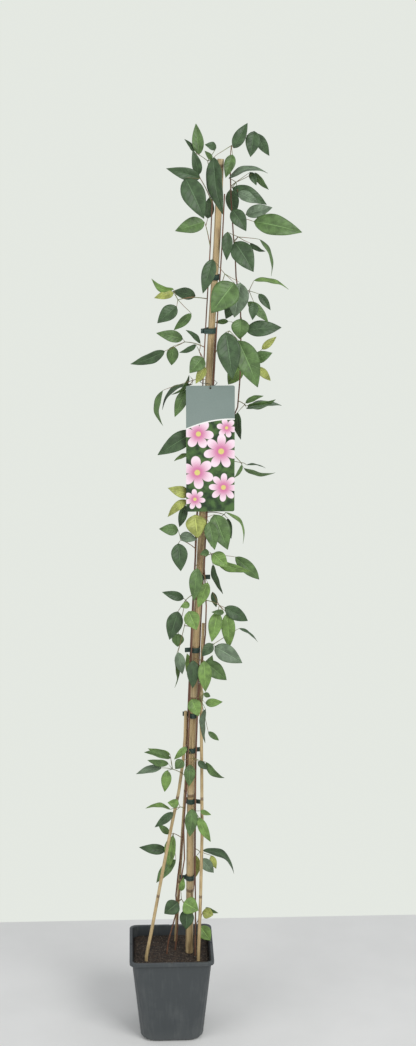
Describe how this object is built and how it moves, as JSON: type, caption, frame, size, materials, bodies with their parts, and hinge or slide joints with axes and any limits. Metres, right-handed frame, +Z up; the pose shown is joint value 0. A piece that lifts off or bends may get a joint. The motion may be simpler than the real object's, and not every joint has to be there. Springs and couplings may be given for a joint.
{
  "type": "potted clematis climbing plant",
  "caption": "Young clematis vine tied to bamboo canes in a square nursery pot, with a tall hang label.",
  "frame": {"origin": "centre of the pot's underside", "axes": "+Z up along the plant, +X to the right seen from the label side, -Y towards the viewer of the label"},
  "size_m": [0.2945, 0.15, 1.6118],
  "materials": {
    "pot_plastic": "satin, slightly scuffed",
    "soil": "crumbly, rough",
    "bamboo": "smooth bark with node rings",
    "tape": "thin dark tape",
    "label_card": "printed card",
    "stem_bark": "fine ribbed bark",
    "leaf_green": "soft sheen, veined"
  },
  "bodies": {
    "root": {"pot": "pot_plastic", "soil": "soil", "cane_main": "bamboo", "cane_left": "bamboo", "cane_right": "bamboo", "cane_back": "bamboo", "stem_a": "stem_bark", "stem_b": "stem_bark", "stem_c": "stem_bark", "stem_d": "stem_bark", "tie_1": "tape", "tie_2": "tape", "tie_3": "tape", "tie_4": "tape", "tie_5": "tape", "tie_6": "tape", "tie_7": "tape", "tie_8": "tape", "label": "label_card", "label_tie": "tape", "leaf_01": "leaf_green", "leaf_02": "leaf_green", "leaf_03": "leaf_green", "leaf_04": "leaf_green", "leaf_05": "leaf_green", "leaf_06": "leaf_green", "leaf_07": "leaf_green", "leaf_08": "leaf_green", "leaf_09": "leaf_green", "leaf_10": "leaf_green", "leaf_11": "leaf_green", "leaf_12": "leaf_green", "leaf_13": "leaf_green", "leaf_14": "leaf_green", "leaf_15": "leaf_green", "leaf_16": "leaf_green", "leaf_17": "leaf_green", "leaf_18": "leaf_green", "leaf_19": "leaf_green", "leaf_20": "leaf_green", "leaf_21": "leaf_green", "leaf_22": "leaf_green", "leaf_23": "leaf_green", "leaf_24": "leaf_green", "leaf_25": "leaf_green", "leaf_26": "leaf_green", "leaf_27": "leaf_green", "leaf_28": "leaf_green", "leaf_29": "leaf_green", "leaf_30": "leaf_green", "leaf_31": "leaf_green", "leaf_32": "leaf_green", "leaf_33": "leaf_green", "leaf_34": "leaf_green", "leaf_35": "leaf_green", "leaf_36": "leaf_green", "leaf_37": "leaf_green", "leaf_38": "leaf_green", "leaf_39": "leaf_green", "leaf_40": "leaf_green"}
  },
  "joints": []
}
